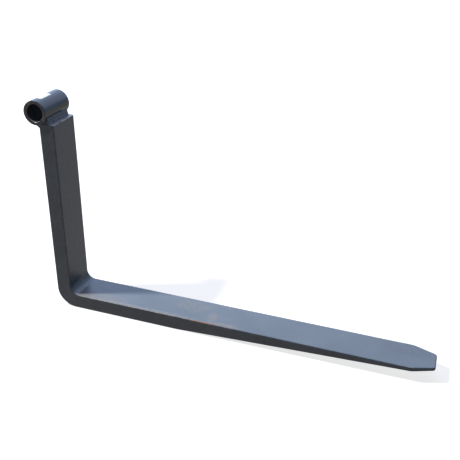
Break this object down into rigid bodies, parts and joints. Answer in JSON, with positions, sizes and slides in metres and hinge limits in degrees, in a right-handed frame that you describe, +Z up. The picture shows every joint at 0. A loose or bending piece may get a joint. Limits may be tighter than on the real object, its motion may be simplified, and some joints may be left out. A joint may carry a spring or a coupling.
{
  "type": "forklift fork",
  "caption": "Forged L-shaped pallet fork with a tapered blade and a tube eye welded across its top, which hangs and slides on a carriage shaft.",
  "frame": {"origin": "middle of the eye's bore, on its axis", "axes": "+X forward along the blade to its tip, +Y across the blade along the bore, +Z up"},
  "size_m": [1.293, 0.135, 0.7185],
  "materials": {
    "arm_enamel": "semi-gloss anthracite enamel on forged steel",
    "tube_enamel": "semi-gloss anthracite enamel on turned steel tube",
    "weld_enamel": "semi-gloss anthracite enamel over rippled weld beads",
    "paper": "bare white paper label"
  },
  "bodies": {
    "root": {"fork_arm": "arm_enamel", "eye_tube": "tube_enamel", "front_weld": "weld_enamel", "rear_weld": "weld_enamel"}
  },
  "joints": []
}
